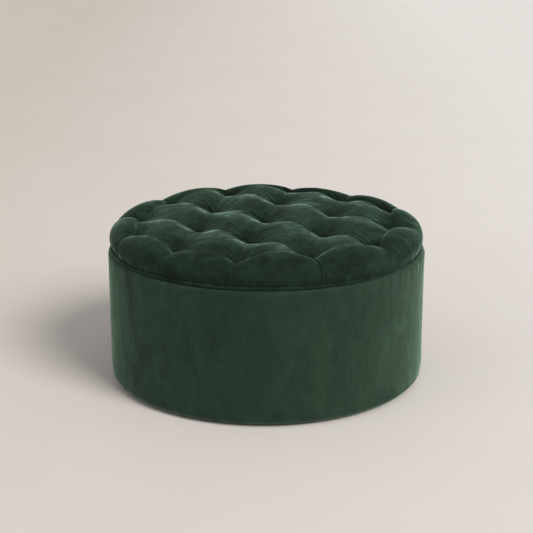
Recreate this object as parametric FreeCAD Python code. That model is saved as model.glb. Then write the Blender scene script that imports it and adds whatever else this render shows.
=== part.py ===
import FreeCAD, Part
import math
import os

# A round storage tuffet: an upholstered drum, open at the top, and a loose lid that is
# tufted in diamonds. Millimetres, +Z up, origin on the floor under the middle of the drum.

# Driving sizes of the drum
drum_radius = 400.0        # velvet to centre
seat_height = 334.0        # floor to the top of the drum, where the lid rests
shoulder_radius = 12.0     # rounding of the drum's top edge
foot_radius = 14.0         # rounding of the drum's bottom edge
velvet = 1.5               # cover cloth, with its backing
padding = 12.0             # foam round the wall
wall_board = 3.0           # bent hardboard, outside and inside the battens
hoop_width = 24.0          # plywood ring at the mouth, across its face
hoop_height = 18.0
floor_thickness = 12.0     # plywood floor
lining = 1.0               # lining cloth
floor_pad = 3.0            # card under the lining on the floor
mouth_hem = 40.0           # velvet turned down inside the mouth
bottom_hem = 60.0          # velvet turned in under the floor
dust_cloth = 1.0
dust_inset = 20.0          # edge of the dust cover to the side of the drum
batten_count = 8
batten_width = 45.0
batten_sides = 5           # flat sides of the boards, foam and linings from batten to batten
glide_count = 6
glide_radius = 12.5
glide_height = 6.0
glide_circle = 352.0       # centre of the drum to the centre of a glide
glide_recess = 2.0         # depth of the nail's seat in a glide
nail_radius = 1.3
nail_head = 3.5
nail_cap = 1.0             # thickness of its head
nail_length = 14.0
small_sides = 6            # screws, nails and their holes are drawn with so many sides
glide_sides = 12
screw_radius = 2.0
screw_head = 4.0
screw_length = 34.0        # frame screws

# Driving sizes of the lid
board_thickness = 15.0
board_inset = 8.0          # edge of the board to the side of the lid
rim_inset = 6.0            # side of the lid, at the welt, to the side of the drum
bulge = 3.0                # how far the lid's side swells past its foot
pleat_bulge = 1.2          # the same at a pleat
rim_out = 0.72             # middle of the rim's rounding, as a share of the way out from its crest
rim_down = 0.32            # and of the way down
welt_radius = 4.0
piping_radius = 2.6        # cord inside the welt
welt_sides = 6             # sides of the section of the welt, and of the cord in it
welt_flats = 80            # flats of the welt round the lid
welt_tail = 18.0           # flat tail of the welt, stapled under the board
tail_thickness = 1.0
welt_gap = 0.3             # welt to the velvet that is drawn down round the board
seam_gap = 0.5             # welt to the drum below it and to the cover above it
skirt_ease = 0.5           # slack of the velvet round the board
toggle_room = 2.0          # toggle or locating ring to the velvet that is turned in under the board
core_edge = 14.0           # foam slab, thickness at its edge
core_crown = 14.0          # and how much thicker it is in the middle
core_inset = 8.0           # edge of the board to the edge of the slab
crown_shares = (1.0, 0.8, 0.55, 0.25)   # radii of the crown's flats, as shares of the slab's
ring_clearance = 3.0       # locating ring to the mouth, all round
ring_width = 18.0
ring_height = 25.0
ring_screw_length = 36.0
tie_hole = 4.0             # radius of the holes in the board
foam_cut = 9.0             # half the diagonal of the square holes in the slab
tie_radius = 1.2           # tufting twine
tie_sides = 4
toggle_length = 20.0
toggle_width = 6.0
toggle_thickness = 1.3

# Driving sizes of the tufting: 19 tufts, in rows along two slanted directions
row_step = 187.0           # from tuft to tuft along the first row
row_angle = -101.0         # direction of the first row, degrees from +X
cross_step = 175.0         # along the second row
cross_angle = -40.0
outer_inset = 59.0         # side of the lid to the circle that the outer tufts are drawn halfway to
wadding = 8.0              # cloth and wadding left between a tuft and the slab
puff = 40.0                # tuft to the crest of a diamond
rim_crest = 60.0           # board to the crest of the outer pillows
rim_pleat = 39.0           # board to the top of a pleat, over the edge
open_drop = 3.0            # crest of an outer pillow to its inner edge, where it meets a half diamond
rim_side = 15.0            # board to where the side starts to round over
crest_inset = 43.0         # crest of the outer pillows to the side of the lid
pleat_inset = 23.0         # top of a pleat to the side of the lid
seam_depth = 6.0           # how far the pillows run under each other
tuft_floor = 2.0           # the flat pinch at the bottom of a tuft, above where its pillows meet
pillow_chords = 8          # flats across a pillow
pillow_strips = 8          # and along it
half_lap = 0.15            # share of its half length that a half diamond runs on past its two tufts
pillow_lap = 10.0          # how far an outer pillow reaches in past its two tufts
pillow_bow = 14.0          # and how much further in its middle

# Directions: every batten stands in the middle of a flat side
frame_sides = batten_count * batten_sides
batten_angle = 360.0 / batten_count / 2


def flat_side(radius):
    """Distance from the middle to a flat side, for an outline with its corners at this radius."""
    return radius * math.cos(math.pi / frame_sides)


# Heights of the drum, from the floor up
dust_bottom = glide_height
hem_bottom = dust_bottom + dust_cloth
floor_bottom = hem_bottom + velvet
floor_top = floor_bottom + floor_thickness
hoop_top = seat_height - velvet
hoop_bottom = hoop_top - hoop_height
hem_end = seat_height - mouth_hem

# Radii of the drum, from the outside in
padding_outer = drum_radius - velvet
padding_inner = padding_outer - padding
frame_radius = padding_inner - wall_board
mouth_board = frame_radius - hoop_width
lining_inner = mouth_board - lining
mouth_radius = flat_side(mouth_board) - velvet
inner_wall_outer = mouth_board + wall_board

# Heights and radii of the lid
lining_top = seat_height + lining
tail_top = lining_top + tail_thickness
board_bottom = tail_top + velvet
board_top = board_bottom + board_thickness
welt_centre_z = seat_height + welt_radius + seam_gap
welt_top = welt_centre_z + welt_radius + seam_gap
lid_radius = drum_radius - rim_inset
board_radius = lid_radius - board_inset
skirt_radius = board_radius + velvet + skirt_ease
welt_centre_r = skirt_radius + welt_radius + welt_gap
core_radius = board_radius - core_inset
outer_circle = lid_radius - outer_inset
ring_outer = mouth_radius - ring_clearance
ring_inner = ring_outer - ring_width
core_sphere = (core_radius ** 2 + core_crown ** 2) / (2 * core_crown)
core_peak = board_top + core_edge + core_crown


def at(r, z):
    """A point of a profile, at radius r and height z."""
    return FreeCAD.Vector(r, 0, z)


def around(r, z, degrees):
    """A point at radius r and height z, in the given direction."""
    turn = math.radians(degrees)
    return FreeCAD.Vector(r * math.cos(turn), r * math.sin(turn), z)


def up(place, z):
    """The same place at another height."""
    return FreeCAD.Vector(place.x, place.y, z)


def line(start, end):
    return Part.LineSegment(start, end).toShape()


def arc(start, middle, end):
    return Part.Arc(start, middle, end).toShape()


def turned(*corners):
    """The solid of a straight-sided profile turned about the centre line, given by its corners in order."""
    points = [at(r, z) for r, z in corners]
    edges = [line(points[k - 1], points[k]) for k in range(len(points))]
    face = Part.Face(Part.Wire(edges))
    return face.revolve(FreeCAD.Vector(0, 0, 0), FreeCAD.Vector(0, 0, 1), 360)


def frame_corners(radius, z, sides=frame_sides):
    return [around(radius, z, batten_angle + 360.0 * (k + 0.5) / sides) for k in range(sides)]


def frame_outline(radius, z, sides=frame_sides):
    """The many-sided outline that the boards, foam and linings share, with its corners at this radius."""
    return polygon(frame_corners(radius, z, sides))


def disc(radius, bottom, height):
    return Part.Face(frame_outline(radius, bottom)).extrude(FreeCAD.Vector(0, 0, height))


def ring(outer, inner, bottom, height, sides=frame_sides):
    outlines = [frame_outline(outer, bottom, sides), frame_outline(inner, bottom, sides)]
    return Part.makeFace(outlines, "Part::FaceMakerBullseye").extrude(FreeCAD.Vector(0, 0, height))


def polygon(points):
    return Part.makePolygon(points + points[:1])


def closed(faces):
    """The solid that these faces enclose."""
    shell = Part.makeShell(faces)
    shell.sewShape()
    return Part.makeSolid(shell)


def band(start, end, sides=frame_sides):
    """The flat faces between two many-sided outlines, each given by its radius and height."""
    near = frame_corners(*start, sides)
    far = frame_corners(*end, sides)
    return [Part.Face(polygon([near[k - 1], near[k], far[k], far[k - 1]])) for k in range(sides)]


def looped(profile, sides=frame_sides):
    """The solid of a straight-sided profile carried round flat sides."""
    faces = []
    for k in range(len(profile)):
        faces += band(profile[k - 1], profile[k], sides)
    return closed(faces)


def stacked(*levels):
    """The solid through many-sided outlines, each given by its radius and height."""
    faces = [Part.Face(frame_outline(*levels[0])), Part.Face(frame_outline(*levels[-1]))]
    for k in range(1, len(levels)):
        faces += band(levels[k - 1], levels[k])
    return closed(faces)


def spread(count, radius, offset=0.0):
    """Points at equal angles on a circle, the first at the given direction."""
    return [around(radius, 0, offset + 360.0 * k / count) for k in range(count)]


def save(name, shape):
    shape.exportStep("parts/" + name + ".step")
    print(name, len(shape.Solids), "solids", round(shape.Volume / 1000), "cm3", shape.isValid())


def group(solids):
    return Part.makeCompound(solids)


# The drum

hoop_middle = frame_radius - hoop_width / 2
screw_places = spread(batten_count, hoop_middle, batten_angle)
glide_places = spread(glide_count, glide_circle, 360.0 / glide_count / 2)
nail_head_z = glide_recess


def many_sided(place, z, radius, sides=small_sides):
    """The outline of a small round thing, drawn with a few sides."""
    return polygon([up(place, z) + around(radius, 0, 360.0 * k / sides) for k in range(sides)])


def peg(place, radius, bottom, height, sides=small_sides):
    return Part.Face(many_sided(place, bottom, radius, sides)).extrude(FreeCAD.Vector(0, 0, height))


def countersunk(place, head_z, length, into):
    """A countersunk screw. Its head's face is at head_z, and it runs down or up (into -1 or 1)."""
    neck_z = head_z + into * (screw_head - screw_radius)
    tip_z = head_z + into * length
    wide = many_sided(place, head_z, screw_head)
    head = Part.makeLoft([wide, many_sided(place, neck_z, screw_radius)], True, True)
    return head.fuse(peg(place, screw_radius, min(neck_z, tip_z), abs(tip_z - neck_z))).removeSplitter()


def nail(place):
    head = peg(place, nail_head, nail_head_z, nail_cap)
    return head.fuse(peg(place, nail_radius, nail_head_z, nail_length)).removeSplitter()


def batten(degrees):
    """An upright batten between the two boards. One wider than a flat side stands further in."""
    flat = flat_side(frame_radius)
    step = 2 * math.pi / frame_sides
    outer_face = min(flat, (flat - batten_width / 2 * math.sin(step)) / math.cos(step))
    inner_face = flat_side(inner_wall_outer)
    corner = FreeCAD.Vector(inner_face, -batten_width / 2, floor_top)
    block = Part.makeBox(outer_face - inner_face, batten_width, hoop_bottom - floor_top, corner)
    block.rotate(FreeCAD.Vector(0, 0, 0), FreeCAD.Vector(0, 0, 1), degrees)
    return block


hoop_screws = [countersunk(p, hoop_top, screw_length, -1) for p in screw_places]
floor_screws = [countersunk(p, floor_bottom, screw_length, 1) for p in screw_places]
nails = [nail(p) for p in glide_places]
battens = [batten(batten_angle + 360.0 * k / batten_count) for k in range(batten_count)]


def rounding(centre_r, centre_z, radius, first, last):
    """The corners of a rounded edge, drawn with two flats between two directions in degrees."""
    corners = []
    for angle in (first, (first + last) / 2, last):
        turn = math.radians(angle)
        corners.append((centre_r + radius * math.cos(turn), centre_z + radius * math.sin(turn)))
    return corners


def side_cover():
    """The velvet sleeve: hem under the floor, wall, rounded shoulder, and hem down in the mouth."""
    foot = rounding(drum_radius - foot_radius, hem_bottom + foot_radius, foot_radius, -90, 0)
    shoulder = rounding(drum_radius - shoulder_radius, seat_height - shoulder_radius, shoulder_radius, 0, 90)
    outside = turned((0, hem_end), (0, hem_bottom), *foot, *shoulder, (mouth_radius, seat_height),
                     (mouth_radius, hem_end))
    filling = padded_frame().cut(disc(mouth_board, hem_end, seat_height - hem_end))
    filling = filling.fuse(disc(mouth_board, floor_top, hem_end - floor_top))
    return outside.cut(filling).cut(disc(drum_radius - bottom_hem, hem_bottom, velvet))


def padded_frame():
    """The whole frame with the foam round it, pared away at both edges for the rounded cover."""
    return stacked((padding_inner, floor_bottom), (padding_outer, hem_bottom + foot_radius),
                   (padding_outer, seat_height - shoulder_radius), (padding_inner, hoop_top))


def make_drum():
    floor_board = disc(frame_radius, floor_bottom, floor_thickness)
    floor_board = floor_board.cut(group(floor_screws + nails))
    hoop = ring(frame_radius, mouth_board, hoop_bottom, hoop_height).cut(group(hoop_screws))
    uprights = group([b.cut(group(hoop_screws + floor_screws)) for b in battens])
    dust_cover = disc(drum_radius - dust_inset, dust_bottom, dust_cloth).cut(group(nails))
    cover = side_cover().cut(group(nails))
    glides = []
    for place in glide_places:
        foot = peg(place, glide_radius, 0, glide_height, glide_sides)
        foot = foot.cut(peg(place, nail_head, 0, nail_head_z)).cut(group(nails))
        glides.append(foot)
    save("floor_board", floor_board)
    save("mouth_hoop", hoop)
    save("battens", uprights)
    save("outer_wall_board", ring(padding_inner, frame_radius, floor_bottom, hoop_top - floor_bottom))
    save("inner_wall_board", ring(inner_wall_outer, mouth_board, floor_top, hoop_bottom - floor_top))
    save("wall_padding", padded_frame().cut(disc(padding_inner, floor_bottom, hoop_top - floor_bottom)))
    save("side_cover", cover)
    save("wall_lining", ring(mouth_board, lining_inner, floor_top, hem_end - floor_top))
    save("floor_lining", disc(lining_inner, floor_top, floor_pad))
    save("dust_cover", dust_cover)
    save("hoop_screws", group(hoop_screws))
    save("floor_screws", group(floor_screws))
    save("glides", group(glides))
    save("glide_nails", group(nails))


# The tufting's layout

def tuft_layout():
    """Each tuft's place by its two row numbers. The outer dozen are drawn towards one circle."""
    row = around(row_step, 0, row_angle)
    cross = around(cross_step, 0, cross_angle)
    places = {}
    for i in range(-2, 3):
        for j in range(-2, 3):
            if abs(i + j) <= 2:
                place = row * i + cross * j
                if max(abs(i), abs(j), abs(i + j)) == 2:
                    place = place * ((place.Length + outer_circle) / 2 / place.Length)
                place.z = core_top(place.Length) + wadding
                places[i, j] = place
    return places


def core_top(reach):
    """The top of the crowned slab, at this distance from the middle."""
    return core_peak - core_sphere + math.sqrt(core_sphere ** 2 - reach ** 2)


tufts = tuft_layout()
outer_rows = [k for k in tufts if max(abs(k[0]), abs(k[1]), abs(k[0] + k[1])) == 2]
outer_rows.sort(key=lambda k: math.atan2(tufts[k].y, tufts[k].x))
outer_tufts = [tufts[k] for k in outer_rows]


def direction_of(place):
    """The direction of a place from the middle, in degrees."""
    return math.degrees(math.atan2(place.y, place.x))


def chords(curve, count):
    """Points at equal spaces along a curve, without its first."""
    return curve.discretize(Number=count + 1)[1:]


def skinned(sections):
    """The solid through outlines with equal numbers of corners, in flat triangles that bulge outwards."""
    faces = [Part.Face(polygon(sections[0])), Part.Face(polygon(sections[-1]))]
    for near, far in zip(sections, sections[1:]):
        middle = sum(near + far, FreeCAD.Vector()) * (0.5 / len(near))
        for k in range(len(near)):
            a, b, c, d = near[k - 1], near[k], far[k], far[k - 1]
            if (a + c - b - d).dot(a + b + c + d - middle * 4) < 0:
                a, b, c, d = b, c, d, a
            faces.append(Part.Face(polygon([a, b, c])))
            faces.append(Part.Face(polygon([a, c, d])))
    return closed(faces)


def diamond(back, front, left, right, half=False):
    """A pillow between four tufts: arcs across its short way, which rise and fall along its long way.
    A half one starts just past the line between its left and right tufts."""
    middle = (back + front) * 0.5
    along = front - back
    side = FreeCAD.Vector(-along.y, along.x, 0).normalize()
    half_width = abs((left - right).dot(side)) / 2
    reach = math.sqrt(1 + (seam_depth - tuft_floor) / puff)
    first = -math.asin(half_lap / reach) if half else -math.pi / 2
    strips = pillow_strips * 2 // 3 if half else pillow_strips
    sections = []
    for k in range(strips + 1):
        step = reach * math.sin(first + (math.pi / 2 - first) * k / strips)
        centre = middle + along * (step / 2)
        foot = centre.z - seam_depth
        crest = centre.z + puff * (1 - step ** 2)
        half_chord = half_width * math.sqrt((crest - foot) / puff)
        start = up(centre - side * half_chord, foot)
        end = up(centre + side * half_chord, foot)
        sections.append([start] + chords(arc(start, up(centre, crest), end), pillow_chords))
    return skinned(sections)


def roll(first, last, opened):
    """An outer pillow between two tufts, from the tufts over the edge and down to the welt.
    Where no pleat joins the two tufts it rises from the half diamond inside it."""
    start = direction_of(first)
    sweep = (direction_of(last) - start) % 360.0
    chord = last - first
    sections = []
    for k in range(pillow_strips + 1):
        share = (1 - math.cos(math.pi * k / pillow_strips)) / 2
        swell = 1 - (2 * share - 1) ** 2
        degrees = start + share * sweep
        aim = around(1.0, 0, degrees)
        tuft_r = (first.x * chord.y - first.y * chord.x) / (aim.x * chord.y - aim.y * chord.x)
        foot_z = first.z + share * chord.z - seam_depth
        crest_r = lid_radius - pleat_inset - (crest_inset - pleat_inset) * swell
        crest_z = board_top + rim_pleat + (rim_crest - rim_pleat) * swell
        side_r = lid_radius + pleat_bulge + (bulge - pleat_bulge) * swell
        side_z = board_top + rim_side
        inner_z = foot_z
        if opened:
            inner_z = foot_z + (crest_z - open_drop - foot_z) * swell
        inner_r = tuft_r - pillow_lap - pillow_bow * swell
        rise = crest_z - inner_z
        run = crest_r - inner_r
        round_r = (run ** 2 + rise ** 2) / (2 * rise)
        turn = math.atan2(rise, run)
        inside = around(inner_r, inner_z, degrees)
        rising = around(crest_r - round_r * math.sin(turn), crest_z - round_r * (1 - math.cos(turn)), degrees)
        crest = around(crest_r, crest_z, degrees)
        over = around(crest_r + (side_r - crest_r) * rim_out, crest_z - (crest_z - side_z) * rim_down, degrees)
        side = around(side_r, side_z, degrees)
        foot = around(lid_radius, welt_top, degrees)
        under = around(inner_r, welt_top, degrees)
        inner_arc = chords(arc(inside, rising, crest), pillow_chords // 2)
        outer_arc = chords(arc(crest, over, side), pillow_chords // 2)
        sections.append([inside] + inner_arc + outer_arc + [foot, under])
    return skinned(sections)


def crowned(radius, bottom, lift=0.0):
    """A slab that is flat below and crowned on top, in steps that follow a sphere's cap."""
    levels = [(radius, bottom)]
    for share in crown_shares:
        levels.append((radius * share, core_top(radius * share) + lift))
    return stacked(*levels)


def pillows():
    """Ten diamonds inside, four half diamonds at the ends, and twelve pillows over the edge."""
    solids = []
    for (i, j), place in tufts.items():
        corners = [(i + 1, j), (i, j + 1), (i + 1, j + 1)]
        if all(c in tufts for c in corners):
            left, right, front = (tufts[c] for c in corners)
            solids.append(diamond(place, front, left, right))
    for end in (-1, 1):
        for step in (0, 1):
            apex = tufts[end * step, end * (1 - step)]
            left = tufts[end * (step + 1), end * (1 - step)]
            right = tufts[end * step, end * (2 - step)]
            beyond = left + right - apex
            solids.append(diamond(beyond, apex, left, right, half=True))
    for k, near in enumerate(outer_rows):
        far = outer_rows[(k + 1) % len(outer_rows)]
        opened = near[0] - far[0] == far[1] - near[1]
        solids.append(roll(tufts[near], tufts[far], opened))
    return solids


def tie(place):
    """Twine from the bottom of a tuft down through wadding, slab and board to its toggle."""
    return peg(place, tie_radius, board_bottom, place.z + tuft_floor - board_bottom, tie_sides)


def toggle(place):
    """The bar that holds a tie under the board, square to the way out from the middle."""
    corner = FreeCAD.Vector(-toggle_width / 2, -toggle_length / 2, board_bottom - toggle_thickness)
    bar = Part.makeBox(toggle_width, toggle_length, toggle_thickness, corner)
    bar.rotate(FreeCAD.Vector(0, 0, 0), FreeCAD.Vector(0, 0, 1), direction_of(place))
    bar.translate(up(place, 0))
    return bar


def between_tufts(radius):
    """Places on a circle midway between neighbouring outer tufts, at every second gap."""
    places = []
    for k in range(0, len(outer_tufts), 2):
        start = direction_of(outer_tufts[k])
        sweep = (direction_of(outer_tufts[k + 1]) - start) % 360.0
        places.append(around(radius, 0, start + sweep / 2))
    return places


def welt_profile(radius):
    """The corners of the section of the welt, or of the cord in it."""
    points = []
    for k in range(welt_sides):
        angle = 2 * math.pi * (k + 0.5) / welt_sides
        points.append((welt_centre_r + radius * math.cos(angle), welt_centre_z + radius * math.sin(angle)))
    return points


def make_lid():
    places = list(tufts.values())
    ties = group([tie(p) for p in places])
    holes = group([peg(p, tie_hole, board_bottom, board_thickness, tie_sides) for p in places])
    cuts = group([peg(p, foam_cut, board_top, core_peak - board_top, tie_sides) for p in places])
    slab = crowned(core_radius, board_top)
    board = disc(board_radius, board_bottom, board_thickness)
    ring_bottom = seat_height - ring_height
    ring_middle = ring_outer - ring_width / 2
    screws = [countersunk(p, ring_bottom, ring_screw_length, 1) for p in between_tufts(ring_middle)]

    cover = crowned(core_radius, welt_top, wadding + tuft_floor)
    for pillow in pillows():
        cover = cover.fuse(pillow)
    cover = cover.fuse(ring(skirt_radius, board_radius, tail_top, board_top - tail_top))
    toggle_reach = max(math.hypot(up(p, 0).Length + toggle_width / 2, toggle_length / 2) for p in places)
    hem_inner = max(toggle_reach, ring_outer) + toggle_room
    cover = cover.fuse(ring(skirt_radius, hem_inner, tail_top, velvet))
    cover = cover.cut(board).cut(slab).cut(ties)

    tail = ring(welt_centre_r, skirt_radius - welt_tail, lining_top, tail_thickness, welt_flats)
    tube = looped(welt_profile(welt_radius), welt_flats)
    cord = looped(welt_profile(piping_radius))
    save("lid_board", board.cut(holes).cut(group(screws)))
    save("foam_slab", slab.cut(cuts))
    save("tufted_cover", cover)
    save("tuft_ties", ties)
    save("tie_toggles", group([toggle(p) for p in places]))
    save("welt_piping", cord)
    save("welt_cover", tube.fuse(tail).cut(cord).removeSplitter())
    save("lid_lining", disc(skirt_radius, seat_height, lining).cut(group(screws)))
    save("locating_ring", ring(ring_outer, ring_inner, ring_bottom, ring_height).cut(group(screws)))
    save("ring_screws", group(screws))


os.makedirs("parts", exist_ok=True)
make_drum()
make_lid()
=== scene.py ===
import math

import bmesh
import bpy
import numpy as np
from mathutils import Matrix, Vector


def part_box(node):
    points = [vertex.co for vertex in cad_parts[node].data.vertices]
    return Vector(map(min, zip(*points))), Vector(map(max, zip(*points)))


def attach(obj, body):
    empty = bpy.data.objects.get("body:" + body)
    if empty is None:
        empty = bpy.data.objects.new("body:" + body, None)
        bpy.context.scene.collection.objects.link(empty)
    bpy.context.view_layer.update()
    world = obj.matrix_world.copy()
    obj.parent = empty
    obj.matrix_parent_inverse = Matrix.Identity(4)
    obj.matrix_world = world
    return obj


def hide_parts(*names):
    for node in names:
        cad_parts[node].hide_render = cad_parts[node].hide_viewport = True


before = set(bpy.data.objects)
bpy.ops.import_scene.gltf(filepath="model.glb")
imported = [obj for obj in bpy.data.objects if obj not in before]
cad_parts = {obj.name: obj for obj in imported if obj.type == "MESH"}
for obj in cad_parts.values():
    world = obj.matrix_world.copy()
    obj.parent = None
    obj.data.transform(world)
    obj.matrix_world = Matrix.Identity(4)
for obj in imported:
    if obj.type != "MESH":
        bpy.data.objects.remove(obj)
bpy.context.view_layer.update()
print("frame loaded")

mm = 0.001


# Places and sizes read from the frame, in metres
drumLow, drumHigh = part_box("side_cover")
boardLow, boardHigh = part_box("lid_board")
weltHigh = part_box("welt_cover")[1]

drumRadius = drumHigh[0]
seatHeight = drumHigh[2]
hemBottom = drumLow[2]
boardTop = boardHigh[2]
boardBottom = boardLow[2]
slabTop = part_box("foam_slab")[1][2]
weltCentreZ = (weltHigh[2] + seatHeight + 0.5 * mm) / 2


# Mesh helpers

def quads(rows, columns, closeColumns=False):
    # Faces of a grid: each joins four neighbours, and the last column joins the first when it is closed
    r = np.arange(rows - 1)[:, None]
    c = np.arange(columns if closeColumns else columns - 1)[None, :]
    n = (c + 1) % columns
    near, far = r * columns, (r + 1) * columns
    faces = np.stack([near + c, near + n, far + n, far + c], -1)
    return faces.reshape(-1, 4)


def meshOf(name, points, *faceSets):
    # A smooth mesh from whole arrays: the points, and a set of faces for each number of corners
    mesh = bpy.data.meshes.new(name)
    points = np.ascontiguousarray(points, dtype=np.float32).reshape(-1, 3)
    corners = np.concatenate([np.asarray(faces).ravel() for faces in faceSets]).astype(np.int32)
    sides = np.concatenate([np.full(len(faces), faces.shape[1]) for faces in faceSets])
    mesh.vertices.add(len(points))
    mesh.vertices.foreach_set("co", points.ravel())
    mesh.loops.add(len(corners))
    mesh.loops.foreach_set("vertex_index", corners)
    mesh.polygons.add(len(sides))
    mesh.polygons.foreach_set("loop_start", (np.cumsum(sides) - sides).astype(np.int32))
    mesh.polygons.foreach_set("use_smooth", np.full(len(sides), True))
    mesh.update(calc_edges=True)
    mesh.validate()
    return mesh


def joined(parts):
    # One set of points and faces from several, with each part's numbers moved on
    points, faces, start = [], [], 0
    for p, f in parts:
        p = np.asarray(p).reshape(-1, 3)
        points.append(p)
        faces.append(f + start)
        start += len(p)
    return np.concatenate(points), np.concatenate(faces)


def weld(mesh, distance=0.02 * mm):
    # Points that meet become one, and the faces turn outwards
    bm = bmesh.new()
    bm.from_mesh(mesh)
    bmesh.ops.remove_doubles(bm, verts=bm.verts, dist=distance)
    bmesh.ops.dissolve_degenerate(bm, dist=1e-7, edges=bm.edges)
    bmesh.ops.recalc_face_normals(bm, faces=bm.faces)
    bm.to_mesh(mesh)
    bm.free()
    mesh.polygons.foreach_set("use_smooth", np.full(len(mesh.polygons), True))


def place(name, mesh, material, body, slotName, replaces):
    # A piece with its material, riding on its body in the place of CAD nodes
    piece = bpy.data.objects.new(name, mesh)
    bpy.context.scene.collection.objects.link(piece)
    mesh.materials.append(material)
    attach(piece, body)
    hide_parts(*replaces)
    return piece


def turned(profile, count, close=True):
    # A profile of (radius, height) rows carried round the centre line: x = r cos a, y = r sin a, z = height
    profile = np.asarray(profile)
    a = np.linspace(0, 2 * math.pi, count, endpoint=False)[None, :]
    points = np.stack([profile[:, :1] * np.cos(a), profile[:, :1] * np.sin(a), profile[:, 1:] + 0 * a], -1)
    if close:
        points = np.concatenate([points, points[:1]])
    return points, quads(len(points), count, True)


def waves(x, y, z, seed, size, count=7):
    # A smooth wandering value of about -1 to 1: the mean of sine waves in seeded directions, about size long
    rng = np.random.default_rng(seed)
    total = 0.0
    for k in range(count):
        d = rng.normal(size=3)
        d = d / np.linalg.norm(d) * 2 * math.pi / (size * rng.uniform(0.7, 1.5))
        total = total + np.sin(d[0] * x + d[1] * y + d[2] * z + rng.uniform(0, 2 * math.pi))
    return total / math.sqrt(count) * 0.8


def ease(x):
    # 0 below 0 and 1 above 1, with a smooth rise between
    x = np.clip(x, 0, 1)
    return x * x * (3 - 2 * x)


# Materials

def newMaterial(name):
    material = bpy.data.materials.new(name)
    material.use_nodes = True
    nodes = material.node_tree.nodes
    links = material.node_tree.links
    shader = nodes["Principled BSDF"]
    coords = nodes.new("ShaderNodeTexCoord")
    return material, nodes, links, shader, coords.outputs["Object"]


def noiseNode(nodes, links, coords, scale, detail=4.0, roughness=0.55, stretch=(1, 1, 1), distortion=0.0):
    mapping = nodes.new("ShaderNodeMapping")
    mapping.inputs["Scale"].default_value = stretch
    links.new(coords, mapping.inputs["Vector"])
    noise = nodes.new("ShaderNodeTexNoise")
    noise.inputs["Scale"].default_value = scale
    noise.inputs["Detail"].default_value = detail
    noise.inputs["Roughness"].default_value = roughness
    noise.inputs["Distortion"].default_value = distortion
    links.new(mapping.outputs["Vector"], noise.inputs["Vector"])
    return noise.outputs["Fac"]


def rampNode(nodes, links, factor, stops):
    ramp = nodes.new("ShaderNodeValToRGB")
    while len(ramp.color_ramp.elements) < len(stops):
        ramp.color_ramp.elements.new(0.5)
    for element, (position, colour) in zip(ramp.color_ramp.elements, stops):
        element.position = position
        element.color = (*colour, 1)
    links.new(factor, ramp.inputs["Fac"])
    return ramp.outputs["Color"]


def bumpNode(nodes, links, height, strength, distance, under=None):
    bump = nodes.new("ShaderNodeBump")
    bump.inputs["Strength"].default_value = strength
    bump.inputs["Distance"].default_value = distance
    links.new(height, bump.inputs["Height"])
    if under is not None:
        links.new(under, bump.inputs["Normal"])
    return bump.outputs["Normal"]


def mathNode(nodes, links, operation, first, second):
    node = nodes.new("ShaderNodeMath")
    node.operation = operation
    for socket, value in zip(node.inputs, (first, second)):
        if isinstance(value, (int, float)):
            socket.default_value = value
        else:
            links.new(value, socket)
    return node.outputs[0]


# Tone ramps by how far the cloth turns from the eye. The pale grazing ends are painted sheen; the lid's ramp
# sits darker than the drum's as painted shade on the tufted top, so the two are lit and shaded copies of one
# velvet
velvetLook = {
    "lid": [(0.28, (0.0080, 0.0190, 0.0115)), (0.55, (0.0120, 0.0275, 0.0172)),
            (0.72, (0.0160, 0.0360, 0.0230)), (0.86, (0.0350, 0.0700, 0.0480)),
            (0.97, (0.1400, 0.2330, 0.1740))],
    "drum": [(0.10, (0.0150, 0.0315, 0.0200)), (0.50, (0.0262, 0.0510, 0.0340)),
             (0.78, (0.0600, 0.1060, 0.0740)), (0.95, (0.1500, 0.2350, 0.1750))],
    "sheen": 0.16,
    "sheenRoughness": 0.32,
    "sheenColour": (0.50, 0.74, 0.62),
    "roughness": 0.88,
    # painted shade: how strongly the dimple bottoms are darkened, partly for the pile lying another way
    "dimpleShadeStrength": 0.55,        # how much darker the bottom of a dimple is
}


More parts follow.
